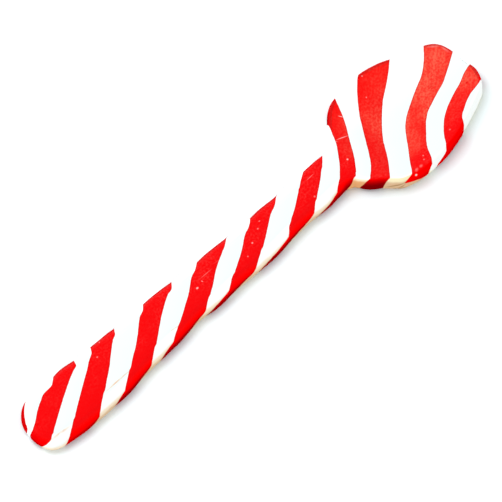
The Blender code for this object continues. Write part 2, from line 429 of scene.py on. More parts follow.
def stripes_at(x, y):
    """(turn, reach): turn grows by 1 at each border, and reach is the way to the nearest
    border, above 0 in red and below 0 in white."""
    shape = x.shape
    x, y = x.ravel(), y.ravel()
    x = x - nicks(x, y)
    crossings = [border_x(points, y) for points in BORDERS]
    crossings = [crossings[0] - BEFORE_FIRST] + crossings + [crossings[-1] + BEYOND_LAST]
    for k in range(1, len(crossings)):
        crossings[k] = np.maximum(crossings[k], crossings[k - 1] + LEAST_BAND)
    crossings = np.stack(crossings)
    after = np.clip((crossings <= x).sum(axis=0), 1, len(crossings) - 1)
    column = np.arange(len(x))
    start, end = crossings[after - 1, column], crossings[after, column]
    nearest = np.where(x - start < end - x, after - 1, after)
    slants = [
        (border_x(points, y + SLANT_STEP) - border_x(points, y - SLANT_STEP)) / (2.0 * SLANT_STEP)
        for points in BORDERS
    ]
    slant = np.stack([slants[0]] + slants + [slants[-1]])[nearest, column]
    nearest_gap = np.minimum(x - start, end - x) / np.hypot(1.0, slant)
    turn = after - 2 + (x - start) / (end - start)
    colour = np.where(after % 2 == 1, 1.0, -1.0)
    return turn.reshape(shape), (colour * nearest_gap).reshape(shape)


top_reach = stripes_at(top_x, top_points[..., 1])[1]
print("Red covers", round(100.0 * float((top_reach > 0.0).mean())), "% of the top.")

# %% [markdown]
# ## The stripes on the edge and underneath
#
# The strands don't stop at the rim. Down the near side they are drawn out along the edge, so that
# a red band ends there in a long thin tail. The borders are therefore kept as they are down to a
# level on the shoulder, and below it the whole pattern slides along the edge, further the lower
# the place is. Red swells a little on its way down, so its tails are fuller than the slide alone
# would leave them. Below the bowl's third red stripe a thin lip of white runs on. Underneath, the
# strands cross back to the other side, as they wind round a cane: one turn round the spoon moves
# a stripe on by three pairs of colours.

# %% How far the pattern slides
SLIDE = (
    (-70, 3.2), (-68.5, 3.0), (-66.5, 1.8), (-64.6, 1.2), (-60, 1.4), (-57.5, 3.0), (-54, 2.4),
    (-49.6, 2.8), (-43.5, 5.8), (-40, 5.4), (-34.2, 3.6), (-28, 6.5), (-18, 5.8), (-12, 8.9),
    (-2, 8.6), (5.5, 10.2), (10, 9.6), (17, 6.0), (26, 3.2), (30, 2.2), (34, 1.6), (38.3, 3.0),
    (45.3, 1.2), (47, 4.0), (50, 3.0), (57.5, 0.4), (70, 0.4),
)
FAR_KEEP_ANGLE = 12.0
NEAR_KEEP_ANGLES = (
    (-70, 88), (-67.5, 88), (-65.5, 36), (26, 36), (30, 72), (41, 72), (46, 34), (70, 34)
)
TAIL_SWELL = 0.13
TAIL_FULL = 0.35
TAIL_FADE = (1.2, 2.2)
SLIDE_BELOW_PARTING = 0.05
PAIRS_PER_TURN = 3
# the cap's far part, where the pattern stays where it is
CAP_X = (-69.6, -68.5)
CAP_Y = (-1.8, -0.4)
LEAST_HALF_WIDTH = 2.0

travelled = np.concatenate(([0.0], np.cumsum(np.hypot(np.diff(loop_x), np.diff(loop_y)))))
round_trip = travelled[-1] + np.hypot(loop_x[0] - loop_x[-1], loop_y[0] - loop_y[-1])
nearness = smooth_step(0.5, -0.5, loop_y / np.maximum(half_width(loop_x), LEAST_HALF_WIDTH))
keep_angle = mix(FAR_KEEP_ANGLE, soft_line(NEAR_KEEP_ANGLES, loop_x), nearness)
slide = soft_line(SLIDE, loop_x)
in_cap = smooth_step(CAP_X[1], CAP_X[0], loop_x) * smooth_step(*CAP_Y, loop_y)
slide = slide * (1.0 - in_cap)
tail_swell = TAIL_SWELL * slide * nearness * (1.0 - bowl_share(loop_x))

# the pattern at the level down to which it is kept
edge_turn, edge_reach = stripes_at(edge_rows[..., 0], edge_rows[..., 1])
kept_turn = np.empty(2 * STATIONS)
kept_reach = np.empty(2 * STATIONS)
for i in range(2 * STATIONS):
    kept_turn[i] = np.interp(keep_angle[i], angles[::-1], edge_turn[::-1, i])
    kept_reach[i] = np.interp(keep_angle[i], angles[::-1], edge_reach[::-1, i])


def slid_share(share):
    """How much of the slide is reached: 1 at the parting, and hardly more below it."""
    share = np.maximum(share, 0.0)
    return np.where(share < 1.0, share, 1.0 + SLIDE_BELOW_PARTING * (share - 1.0))


# below it the same pattern, slid along
for row, angle in enumerate(angles):
    share = (keep_angle - angle) / keep_angle
    wanted = travelled - slide * slid_share(share)
    beyond = share > 0.0
    slid_turn = np.interp(wanted, travelled, kept_turn, period=round_trip)
    slid_reach = np.interp(wanted, travelled, kept_reach, period=round_trip)
    fuller = smooth_step(0.0, TAIL_FULL, share) * smooth_step(TAIL_FADE[1], TAIL_FADE[0], share)
    slid_reach += tail_swell * fuller
    edge_turn[row] = np.where(beyond, slid_turn, edge_turn[row])
    edge_reach[row] = np.where(beyond, slid_reach, edge_reach[row])
print("The pattern slides by up to", round(float(slide.max()), 1), "mm at the parting.")

# %% The white lip: x, and the angle from which down all is white
LIP = ((37, 30), (38, 24), (40, 12), (42, 3.5), (43.7, -2), (45, -14), (46, -40))
MM_PER_DEGREE = 0.06

lip_angle = soft_line(LIP, loop_x)
has_lip = ~FAR_SIDE & (loop_x > LIP[0][0]) & (loop_x < LIP[-1][0])
lip_gap = (angles[:, None] - lip_angle[None, :]) * MM_PER_DEGREE
edge_reach = np.where(has_lip[None, :], np.minimum(edge_reach, lip_gap), edge_reach)
print("The lip runs along", int(has_lip.sum()), "points of the edge.")

# %% The underside
UNDER_BAND = 5.0

far_turn = edge_turn[-1, 1:STATIONS, None] + 2 * PAIRS_PER_TURN
near_turn = edge_turn[-1, :STATIONS:-1, None]
under_share = np.linspace(0.0, 1.0, UNDERSIDE_COLUMNS + 1)[1:-1][None, :]
under_turn = mix(far_turn, near_turn, under_share)
in_band = under_turn % 1.0
under_colour = np.where(under_turn % 2.0 >= 1.0, 1.0, -1.0)
under_reach = under_colour * UNDER_BAND * np.minimum(in_band, 1.0 - in_band)
print("Red covers", round(100.0 * float((under_reach > 0.0).mean())), "% of the underside.")

# %% [markdown]
# ## One mesh
#
# All rows of points are joined into one closed skin. It could be filled and smoothed by Blender's
# own tools, but rows that are joined here keep the order of the points, so that every number
# worked out above still belongs to its own vertex. Two of them go with the mesh: the way to the
# nearest border, and how far down the side it lies, from 0 on top over 1 at the parting to 2.

# %% Join the rows
def skin(grid):
    """Four-sided faces between neighbours of a grid; three-sided where two corners meet."""
    corners = np.stack((grid[:-1, :-1], grid[:-1, 1:], grid[1:, 1:], grid[1:, :-1]), axis=-1)
    return [tuple(dict.fromkeys(face)) for face in corners.reshape(-1, 4).tolist()]


def filled(ring, first, columns):
    """The grid inside a ring, whose own inner vertices start at number first."""
    inner = first + np.arange((STATIONS - 1) * (columns - 1)).reshape(STATIONS - 1, columns - 1)
    rows = np.column_stack((ring[1:STATIONS], inner, ring[:STATIONS:-1]))
    end_row = np.full((1, columns + 1), ring[0])
    tip_row = np.full((1, columns + 1), ring[STATIONS])
    return np.concatenate((end_row, rows, tip_row))


ring_numbers = np.arange(edge_rows[..., 0].size).reshape(len(angles), 2 * STATIONS)
wrapped = np.column_stack((ring_numbers, ring_numbers[:, :1]))
top_first = ring_numbers.size
under_first = top_first + top_x.size
faces = skin(wrapped)
faces += skin(filled(ring_numbers[0], top_first, TOP_COLUMNS))
faces += skin(filled(ring_numbers[-1], under_first, UNDERSIDE_COLUMNS)[:, ::-1])


def gather(of_edge, of_top, of_underside):
    """One value or point per vertex, in the mesh's order."""
    size = () if of_edge.ndim == 2 else (3,)
    return np.concatenate([part.reshape(-1, *size) for part in (of_edge, of_top, of_underside)])


points = gather(edge_rows, top_points, under_points)
reach = gather(edge_reach, top_reach, under_reach)
down_rows = np.repeat(1.0 - angles[:, None] / RIM_ANGLE, 2 * STATIONS, axis=1)
down = gather(down_rows, np.zeros_like(top_reach), np.full_like(under_reach, 2.0))

mesh = bpy.data.meshes.new("candy_spoon")
mesh.from_pydata(points * MM, [], faces)
mesh.shade_smooth()
print("The skin has", len(points), "points and", len(faces), "faces.")

# %% [markdown]
# ## Relief
#
# Pulled sugar isn't flat from strand to strand. Each strand is a little crowned, a fine furrow
# runs where two of them fused, a soft crease follows the rim where the press let go, and the whole
# surface is slightly uneven. These are moves of a tenth or two of a millimetre along the surface's
# own direction. A bump in the material would do from afar, but real relief also holds at the
# outline and in raking light.

# %% Move the points in and out
FURROW_DEPTH = 0.05
FURROW_WIDTH = 0.35
STRAND_CROWN = 0.08
STRAND_WIDTH = 1.5
CREASE_DEPTH = 0.06
CREASE_WIDTH = 0.3
UNEVENNESS = 0.07
UNEVEN_SCALE = 9.0
FINER = 3.1
FINER_SHARE = 0.4
HANDLE_SIDE = 4.0
BOWL_SIDE = 5.0
FAR_FROM_RIM = 9.0
UNDERSIDE_DOWN = 1.9


def uneven(point):
    """Soft hills and dips from about -1 to 1."""
    place = Vector(point) / UNEVEN_SCALE
    return noise.noise(place) + FINER_SHARE * noise.noise(place * FINER)


normals = np.empty(len(points) * 3)
mesh.vertices.foreach_get("normal", normals)
normals = normals.reshape(-1, 3)
rim_gap_top = (1.0 - np.abs(across)) * 0.5 * row_width
rim_gap_edge = np.abs(down_rows) * mix(HANDLE_SIDE, BOWL_SIDE, bowl_share(loop_x))[None, :]
rim_gap = gather(rim_gap_edge, rim_gap_top, np.full_like(under_reach, FAR_FROM_RIM))

relief = -FURROW_DEPTH * np.exp(-((reach / FURROW_WIDTH) ** 2))
relief += STRAND_CROWN * (1.0 - np.exp(-((reach / STRAND_WIDTH) ** 2)))
relief -= CREASE_DEPTH * np.exp(-((rim_gap / CREASE_WIDTH) ** 2))
relief += UNEVENNESS * np.array([uneven(point) for point in points])
relief -= STRAND_CROWN
relief *= np.where(down > UNDERSIDE_DOWN, 0.0, 1.0)
points = points + normals * relief[:, None]
points[:, 2] = np.maximum(points[:, 2], 0.0)
mesh.vertices.foreach_set("co", (points * MM).ravel())
mesh.update()
print("Relief runs from", round(float(relief.min()), 2), "to", round(float(relief.max()), 2), "mm.")

# %% [markdown]
# ## Notes for the material
#
# The red of the bowl isn't even: it is painted paler in places, a painted sheen that stands in for
# the reflection of the light, mainly at the tip and along the middle. That could be left to noise,
# but noise puts the pale parts anywhere, so a few soft round spots are listed and noise only breaks
# them up.

# %% Where the red gets its painted sheen: x, y, radius and strength of each spot
# painted sheen: a paler red that stands in for the reflection of the light in the bowl
PAINTED_SHEEN_BASE = 0.07
PAINTED_SHEEN_FROM_X = (31.0, 37.0)
SHEEN_GONE_BELOW_Y = (-11.5, -7.0)
SHEEN_GONE_BELOW_RIM = 0.25
PAINTED_SHEEN_SPOTS = (
    (62.5, 5.0, 5.0, 0.74), (55.0, 2.0, 4.0, 0.38), (48.5, -2.0, 3.5, 0.42),
    (51.0, 10.0, 4.0, 0.22), (43.5, 3.5, 3.5, 0.3), (67.0, -3.0, 3.5, 0.48),
    (45.0, -7.0, 3.5, 0.25), (38.0, 8.0, 3.0, 0.16), (55.5, -3.5, 3.0, 0.42),
    (34.5, 2.0, 3.0, 0.12),
)


def spots_at(x, y, spots):
    """The sum of soft round spots."""
    return sum(
        strength * np.exp(-((x - spot_x) ** 2 + (y - spot_y) ** 2) / radius**2)
        for spot_x, spot_y, radius, strength in spots
    )


flat_x, flat_y = points[:, 0], points[:, 1]
painted_sheen = PAINTED_SHEEN_BASE * smooth_step(*PAINTED_SHEEN_FROM_X, flat_x) + spots_at(flat_x, flat_y, PAINTED_SHEEN_SPOTS)
painted_sheen = painted_sheen * smooth_step(*SHEEN_GONE_BELOW_Y, flat_y) * smooth_step(SHEEN_GONE_BELOW_RIM, 0.0, down)
print("The dullest place has", round(float(painted_sheen.max()), 2), "of the full bloom.")

# %% [markdown]
# ## Painted shade, low down and at the far edge
#
# Low on the sides the red is darkened with painted shade. How far down that starts changes along
# the spoon, so it is a list of places again, and below the parting the whole heel is darkened with
# painted shade. A fine dark line of painted shade also follows the far edge, where the red turns
# away. Both could come from the light alone, but light this soft leaves the sides too even.

# %% Where painted shade darkens the red towards the underside
PAINTED_SHADE_START = (
    (-70, 0.8), (-58, 0.7), (-50, 0.63), (26, 0.63), (29.5, 0.05), (36, 0.05), (39, 0.7),
    (68.3, 0.6), (69.2, 0.05), (70, 0.0),
)
PAINTED_SHADE_END = 0.86
PAINTED_SHADE_SHARES = (
    (-70, 0.35), (-60, 0.55), (-52, 0.85), (26, 0.85), (31, 1.0), (36, 1.0), (39, 0.3),
    (68.3, 0.3), (69.2, 0.6), (70, 0.6),
)
HEEL_PAINTED_SHADE = 0.85
HEEL_STARTS = (1.0, 1.2)
HEEL_ENDS = (1.5, 1.95)

painted_shade_start = soft_line(PAINTED_SHADE_START, flat_x)
painted_shade = soft_line(PAINTED_SHADE_SHARES, flat_x)
painted_shade = painted_shade * smooth_step(0.0, 1.0, (down - painted_shade_start) / (PAINTED_SHADE_END - painted_shade_start))
painted_shade = np.maximum(painted_shade, HEEL_PAINTED_SHADE * smooth_step(*HEEL_STARTS, down))
painted_shade = painted_shade * smooth_step(HEEL_ENDS[1], HEEL_ENDS[0], down)
print("The red is darkened at", round(100.0 * float((painted_shade > 0.01).mean())), "% of the points.")

# %% The line of painted shade along the far edge, which also paints the white there lighter
FAR_Y = (-1.0, 3.0)
TIP_X_RANGE = (66.5, 68.0)
TIP_Y_RANGE = (-6.5, -4.5)
BOWL_LINE_WIDTH = 0.22
TIP_LINE_WIDTH = 0.13
HANDLE_LINE_DOWN = (0.36, 0.55)

at_tip = smooth_step(*TIP_X_RANGE, flat_x)
far_side = np.maximum(smooth_step(*FAR_Y, flat_y), at_tip * smooth_step(*TIP_Y_RANGE, flat_y))
far_side = far_side * np.where(down < 1.0, 1.0, 0.0)
bowl_part = bowl_share(flat_x)
line_width = mix(BOWL_LINE_WIDTH, TIP_LINE_WIDTH, at_tip)
bowl_line = bowl_part * np.where(down > 0.0, 1.0, np.exp(-((rim_gap / line_width) ** 2)))
handle_line = (1.0 - bowl_part) * smooth_step(*HANDLE_LINE_DOWN, down)
painted_far_edge = far_side * np.maximum(bowl_line, handle_line)
print("The line covers", int((painted_far_edge > 0.5).sum()), "points.")

# %% [markdown]
# ## Write the notes
#
# A note is a named attribute: one number at each point of the mesh, which the material can read.
# Besides the notes made above, three say how the surface lies: how steeply it slopes, how far it
# faces the near side, and how squarely it faces the main light.

# %% Write the notes
# the main light's place, about a metre from the spoon, so it serves as a direction too
KEY_PLACE = (-0.14, 0.40, 0.90)


def note(name, values):
    attribute = mesh.attributes.new(name, "FLOAT", "POINT")
    attribute.data.foreach_set("value", values.astype(np.float32))


note("reach", reach)
note("down", down)
note("painted_sheen", painted_sheen)
note("painted_shade", painted_shade)
note("painted_far_edge", painted_far_edge)
note("slope", 1.0 - normals[:, 2])
note("nearward", -normals[:, 1])
note("lit", normals @ np.array(KEY_PLACE))
print("The mesh carries", len(mesh.attributes), "attributes.")

# %% Hand the mesh over
spoon = bpy.data.objects.new("candy_spoon", mesh)
bpy.context.scene.collection.objects.link(spoon)
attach(spoon, "root")
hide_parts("spoon")
print("The spoon takes the place of the plain one.")

# %% [markdown]
# ## The sugar
#
# Boiled sugar is glossy, full of colour and never quite even. One material makes both colours,
# because they are one fused piece. Helpers keep the node tree short: each adds one node, and a
# socket takes either a number or another node's output.

# %% A new material, and a helper that adds a node
candy = bpy.data.materials.new("pulled_candy")
candy.use_nodes = True
tree = candy.node_tree
shader = tree.nodes["Principled BSDF"]


def add(kind, inputs=None, **settings):
    """Add a node, make its settings, and fill its sockets."""
    node = tree.nodes.new(kind)
    for name, value in settings.items():
        setattr(node, name, value)
    for name, value in (inputs or {}).items():
        if isinstance(value, bpy.types.NodeSocket):
            tree.links.new(value, node.inputs[name])
        else:
            node.inputs[name].default_value = value
    return node


print("The new material has", len(tree.nodes), "nodes to start with.")


# %% Helpers for sums, ramps, blends, notes and noise
def maths(operation, first, second=0.0, third=0.0):
    inputs = {0: first, 1: second, 2: third}
    return add("ShaderNodeMath", inputs, operation=operation).outputs[0]


def ramp(value, start, end, low_value=0.0, high_value=1.0):
    """low_value up to start, high_value from end on, smooth between."""
    inputs = {0: value, 1: start, 2: end, 3: low_value, 4: high_value}
    node = add("ShaderNodeMapRange", inputs, interpolation_type="SMOOTHSTEP")
    return node.outputs[0]


def blend(share, first, second):
    """A colour between two others."""
    inputs = {0: share, 6: first, 7: second}
    return add("ShaderNodeMix", inputs, data_type="RGBA").outputs[2]


def read(name):
    return add("ShaderNodeAttribute", attribute_name=name).outputs["Fac"]


def cloud(place, scale, detail=2.0):
    """Soft noise from 0 to 1; scale is how many lumps go in a millimetre."""
    inputs = {"Vector": place, "Scale": scale, "Detail": detail}
    return add("ShaderNodeTexNoise", inputs).outputs["Fac"]


# %% Places in millimetres, and the same turned and stretched along the strands
PER_METRE = (1.0 / MM, 1.0 / MM, 1.0 / MM)
GRAIN_ANGLE = 47.0
GRAIN_LUMPS = (0.2, 2.2, 0.6)


def times(place, factors):
    inputs = {0: place, 1: factors}
    return add("ShaderNodeVectorMath", inputs, operation="MULTIPLY").outputs[0]


coordinates = add("ShaderNodeTexCoord").outputs["Object"]
millimetres = times(coordinates, PER_METRE)
grain_turn = (0.0, 0.0, np.radians(-GRAIN_ANGLE))
along_grain = add("ShaderNodeMapping", {"Vector": millimetres, "Rotation": grain_turn}).outputs[0]
grain_place = times(along_grain, GRAIN_LUMPS)
print("The grain runs at", GRAIN_ANGLE, "degrees to the spoon.")

# %% [markdown]
# ## Red or white
#
# The border is the place where the way to it is nothing. A little noise added to it before the
# choice makes the border waver, as two strands of warm sugar do where they touch. Painting the
# two colours on faces would be simpler, but its borders would be as coarse as the faces.

# %% Choose the strand
reach_note = read("reach")
down_note = read("down")
slope_note = read("slope")
near_note = read("nearward")
lit_note = read("lit")
waver = maths("MULTIPLY_ADD", cloud(millimetres, 0.35), 0.24, -0.12)
fine_waver = maths("MULTIPLY_ADD", cloud(millimetres, 2.5), 0.10, -0.05)
wavering_reach = maths("ADD", maths("ADD", reach_note, waver), fine_waver)
is_red = ramp(wavering_reach, -0.07, 0.07)
print("So far the tree has", len(tree.nodes), "nodes.")

# %% [markdown]
# ## The red strand
#
# Full red on the handle, faintly mottled, the more on its far half, where the mottle is painted
# sheen. In the bowl it has a stronger painted sheen from the notes, a paler red that stands in for
# the reflection of the light, broken up by noise and by a grain that runs along the strands. Where
# the bowl turns away from the main light, and down the near side, it is painted a purer, lighter
# red: painted light for the places that the lamps reach less. The red is darkest right at its
# borders, and painted shade darkens it low on the sides and along the far edge.

# %% Cook the red
RED = (0.735, 0.0, 0.001, 1.0)
# a lighter red for the mottle, which on the handle's far half is painted sheen
MOTTLE_AND_SHEEN_RED = (0.77, 0.022, 0.020, 1.0)
# the paler red of the painted sheen in the bowl
PAINTED_SHEEN_RED = (0.80, 0.10, 0.058, 1.0)
# a lighter red: painted light for the near side and the parts of the bowl turned away from the main
# light
PAINTED_LIGHT_RED = (0.95, 0.0, 0.0, 1.0)
# a dark red for the borders and for painted shade
PAINTED_SHADE_RED = (0.20, 0.0, 0.001, 1.0)
FAR_EDGE_SHADE_STRENGTH = 0.35

split = add("ShaderNodeSeparateXYZ", {0: millimetres})
spoon_x, spoon_y, spoon_z = split.outputs
in_bowl = ramp(spoon_x, 24.0, 40.0)
grain = cloud(grain_place, 1.0, 4.0)
patches = cloud(millimetres, 0.2, 2.0)
speckle = cloud(millimetres, 2.0, 3.0)

# mottle at random, stronger in the bowl and on the handle's far half, where it is painted sheen
mottle_and_sheen = maths("MULTIPLY", ramp(speckle, 0.42, 0.72), ramp(patches, 0.35, 0.65, 0.25, 0.9))
mottle_and_sheen_spread = maths("MAXIMUM", in_bowl, ramp(spoon_y, -4.5, 0.0, 0.1, 1.0))
mottle_and_sheen_spread = maths("MULTIPLY", mottle_and_sheen_spread, ramp(spoon_x, -60.0, -5.0, 0.55, 1.0))
mottle_and_sheen = maths("MULTIPLY", mottle_and_sheen, mottle_and_sheen_spread)
# the painted sheen, broken up by noise, grain and speckle; it also raises the roughness
painted_sheen_and_roughness = maths("MULTIPLY", read("painted_sheen"), ramp(patches, 0.3, 0.7, 0.7, 1.3))
painted_sheen_and_roughness = maths("MULTIPLY", painted_sheen_and_roughness, ramp(grain, 0.35, 0.65, 0.75, 1.25))
painted_sheen_and_roughness = maths("MULTIPLY", painted_sheen_and_roughness, ramp(speckle, 0.35, 0.65, 0.55, 1.45))
red = blend(mottle_and_sheen, RED, MOTTLE_AND_SHEEN_RED)
red = blend(painted_sheen_and_roughness, red, PAINTED_SHEEN_RED)
# painted light: the red is painted lighter down the near side and where the bowl turns away from
# the main light
painted_light_near_side = maths("MULTIPLY", ramp(slope_note, 0.03, 0.4), ramp(near_note, 0.0, 0.4))
painted_light_unlit = maths("MULTIPLY", ramp(lit_note, 0.62, 0.86, 0.5, 0.0), in_bowl)
red = blend(maths("MAXIMUM", painted_light_near_side, painted_light_unlit), red, PAINTED_LIGHT_RED)
border_shade = ramp(reach_note, 0.05, 0.35, 0.3, 0.0)
painted_far_edge_note = read("painted_far_edge")
far_shade = maths("MULTIPLY", painted_far_edge_note, FAR_EDGE_SHADE_STRENGTH)
# the red is darker at its borders, and painted shade darkens it low on the sides, on the heel and
# along the far edge
shade = maths("MAXIMUM", maths("MAXIMUM", border_shade, far_shade), read("painted_shade"))
red = blend(shade, red, PAINTED_SHADE_RED)
print("With the red it has", len(tree.nodes), "nodes.")

# %% [markdown]
# ## Marks
#
# The spoon has a few marks that anyone would know it by: crumbs of white sugar stuck to the red,
# short scratches, painted highlights along the bowl's rims, a pit or two darkened with painted
# shade, and thin tan seams in the white, painted as the shade in their fine creases. Each is a
# small oval, laid down by a Mapping node that squeezes space round it and a round gradient that is
# 1 in the middle and 0 at the oval's edge. Marks on top are placed by x and y. On the bowl's wall x
# and z place them, because a mark seen from above would be smeared down the wall.

# %% The marks
Mark = namedtuple("Mark", "x y length width turn strength")
CRUMBS_AND_HIGHLIGHTS = (
    # in the bowl, from the neck to the tip; the four near the near rim (y -13.1 to -11.2) and the
    # two long ones near the far rim (x 66 and 67.6) are painted highlights
    Mark(31.7, 0.0, 0.3, 0.3, 0, 0.8), Mark(41.7, -13.1, 0.7, 0.45, 20, 0.2),
    Mark(43.1, -13.1, 0.6, 0.45, 10, 0.2), Mark(44.9, -12.2, 0.3, 0.25, 40, 0.3),
    Mark(45.6, -11.2, 0.25, 0.25, 0, 0.35),
    Mark(46.2, 9.1, 0.22, 0.22, 0, 0.4), Mark(48.6, 13.2, 0.22, 0.22, 0, 0.45),
    Mark(66.0, 7.4, 1.9, 0.35, -38, 0.16), Mark(67.6, 5.0, 1.6, 0.35, -78, 0.16),
    Mark(51.8, 14.0, 0.35, 0.35, 0, 0.5), Mark(54.6, -10.7, 0.28, 0.28, 0, 0.25),
    # on the handle
    Mark(-45.5, 2.9, 0.3, 0.25, 0, 0.35), Mark(-42.4, 5.6, 0.4, 0.15, 60, 0.35),
    Mark(-16.4, -0.1, 0.42, 0.3, 0, 0.8), Mark(-14.4, 0.4, 0.15, 0.35, 20, 0.5),
    Mark(-2.2, -2.2, 0.25, 0.25, 0, 0.3), Mark(0.9, -0.4, 0.28, 0.25, 0, 0.6),
    Mark(4.3, 1.4, 0.3, 0.25, 0, 0.35), Mark(5.9, 2.6, 0.3, 0.2, 0, 0.3),
    Mark(19.7, -1.6, 0.3, 0.3, 0, 0.3),
    # scratches
    Mark(38.15, 9.25, 0.8, 0.13, -45, 0.9), Mark(34.7, 5.0, 2.0, 0.12, -15, 0.7),
    Mark(32.6, 5.2, 0.7, 0.12, -20, 0.5), Mark(22.3, 2.75, 1.5, 0.10, 2, 0.3),
    Mark(-12.5, 1.2, 2.2, 0.10, 0, 0.25), Mark(-7.0, 1.6, 3.0, 0.08, -8, 0.2),
)
# the pits' darker red is painted shade in them
PIT_SHADES = (
    Mark(65.7, -4.6, 0.5, 0.4, 0, 1.3), Mark(37.2, -5.2, 0.35, 0.35, 0, 1.1),
    Mark(59.3, 1.0, 1.5, 1.0, 0, 0.45),
)
# the seams' tan is painted shade in their fine creases
SEAM_SHADES = (
    Mark(-64.8, -5.35, 4.2, 0.5, -5, 1.1), Mark(-65.2, -5.5, 3.6, 1.2, -5, 0.4),
    Mark(-46.3, -4.8, 5.2, 0.32, 1, 1.7), Mark(-34.0, -3.25, 1.2, 0.25, 0, 0.8),
    Mark(-27.3, -3.95, 2.4, 0.28, -5, 1.0),
)
# on the wall of the bowl: x along and z up; the light mark is a painted highlight near the rim, the
# seams' brown is painted shade
WALL_HIGHLIGHT = (Mark(40.95, 5.0, 0.35, 0.45, 0, 1.4),)
# the wall seams' brown is painted shade in their creases
WALL_SEAM_SHADES = (
    Mark(36.3, 2.95, 2.6, 0.4, 28, 1.6), Mark(37.3, 2.2, 1.6, 0.35, 48, 1.2),
    Mark(37.0, 1.2, 2.6, 0.5, 0, 0.9), Mark(29.6, 1.3, 1.2, 0.5, 0, 0.8),
)
print("There are", len(CRUMBS_AND_HIGHLIGHTS), "light marks,", len(PIT_SHADES), "pits and", len(SEAM_SHADES), "seams.")


# %% A helper that lays marks down
def marked(marks, place):
    """The strength of the strongest mark at each place."""
    strongest = 0.0
    for mark in marks:
        inputs = {
            "Vector": place,
            "Location": (mark.x, mark.y, 0.0),
            "Rotation": (0.0, 0.0, np.radians(mark.turn)),
            "Scale": (mark.length, mark.width, 1.0),
        }
        squeezed = add("ShaderNodeMapping", inputs, vector_type="TEXTURE").outputs[0]
        oval = add("ShaderNodeTexGradient", {"Vector": squeezed}, gradient_type="SPHERICAL")
        strength = maths("MULTIPLY", oval.outputs["Fac"], mark.strength)
        strongest = maths("MAXIMUM", strongest, strength)
    return maths("MINIMUM", strongest, 1.0)


# %% Lay the light marks, painted highlights among them, and the painted shade of the pits over the red
# the light marks: crumbs and scratches, and painted highlights on the bowl's rims
CRUMB_AND_HIGHLIGHT_WHITE = (0.85, 0.72, 0.68, 1.0)
# a darker red, painted shade in the pits
PIT_SHADE_RED = (0.62, 0.001, 0.001, 1.0)
flat_place = times(millimetres, (1.0, 1.0, 0.0))
steep = ramp(slope_note, 0.3, 0.6)
crumbs_and_highlights = maths("MULTIPLY", marked(CRUMBS_AND_HIGHLIGHTS, flat_place), maths("SUBTRACT", 1.0, steep))
wall_place = add("ShaderNodeCombineXYZ", {0: spoon_x, 1: spoon_z}).outputs[0]
near_wall = maths("MULTIPLY", ramp(near_note, 0.3, 0.5), ramp(slope_note, 0.15, 0.3))
crumbs_and_highlights = maths("MAXIMUM", crumbs_and_highlights, maths("MULTIPLY", marked(WALL_HIGHLIGHT, wall_place), near_wall))
red = blend(crumbs_and_highlights, red, CRUMB_AND_HIGHLIGHT_WHITE)
red = blend(marked(PIT_SHADES, flat_place), red, PIT_SHADE_RED)
print("With its marks the tree has", len(tree.nodes), "nodes.")

# %% [markdown]
# ## The white strand
#
# Pulled sugar is white from countless tiny bubbles, with a hint of cold blue on top. Where it turns
# down, and along the far edge, it is painted a lighter, more neutral white: painted light for the
# sides that the lamps reach less. Where the near side turns down further, painted shade in cream
# and then tan makes a thin warm band under the near rim. The side's slope says where the band goes,
# so it's narrow on the handle and as high as the wall round the bowl. Where the bowl faces the main
# light squarely its white is mixed a little darker, or it would come out too bright; elsewhere in
# the bowl it is painted a little lighter, against the shade of the hollow.

# %% The whites, with their painted light, and the cream and tans of painted shade
WHITE = (0.725, 0.88, 0.87, 1.0)
# a lighter white in the bowl, painted light against the shade of its hollow
BOWL_PAINTED_LIGHT_WHITE = (0.76, 0.90, 0.90, 1.0)
LIT_WHITE = (0.705, 0.85, 0.85, 1.0)
# a lighter, more neutral white: painted light for the sides and the far edge
PAINTED_LIGHT_WHITE = (0.94, 0.95, 0.93, 1.0)
# cream and tans: painted warm shade low on the near side
CREAM_SHADE = (0.90, 0.74, 0.54, 1.0)
BOWL_CREAM_SHADE = (0.93, 0.82, 0.52, 1.0)
TAN_SHADE = (0.68, 0.47, 0.29, 1.0)
NECK_TAN_SHADE = (0.80, 0.40, 0.17, 1.0)
print("The white on top is", WHITE[:3], "and the toasted side is", TAN_SHADE[:3])

# %% Where the near side gets its painted warm shade
at_neck = maths("MULTIPLY", ramp(spoon_x, 25.0, 28.5), ramp(spoon_x, 32.0, 35.0, 1.0, 0.15))
near_share = ramp(near_note, -0.3, 0.6, 0.1, 1.0)
near_share = maths("MULTIPLY", near_share, ramp(down_note, 1.2, 1.9, 1.0, 0.2))
near_share = maths("MULTIPLY", near_share, ramp(spoon_x, -67.0, -58.0, 0.6, 1.0))
tan_shade_share = maths("MULTIPLY", near_share, ramp(spoon_x, 40.0, 45.0, 1.0, 0.3))
near_share = maths("MULTIPLY", near_share, ramp(spoon_x, 40.0, 46.0, 1.0, 0.3))
painted_tan_shade = maths("MULTIPLY_ADD", cloud(millimetres, 0.4), 0.2, -0.1)
painted_tan_shade = maths("ADD", slope_note, painted_tan_shade)
painted_cream_shade = maths("MULTIPLY", maths("MULTIPLY_ADD", in_bowl, 0.2, painted_tan_shade), near_share)
painted_tan_shade = maths("MULTIPLY_ADD", at_neck, 0.15, painted_tan_shade)
lower = maths("MULTIPLY_ADD", down_note, 0.5, -0.45)
painted_tan_shade = maths("MULTIPLY", maths("MULTIPLY_ADD", in_bowl, lower, painted_tan_shade), tan_shade_share)
print("With the toasted shares it has", len(tree.nodes), "nodes.")

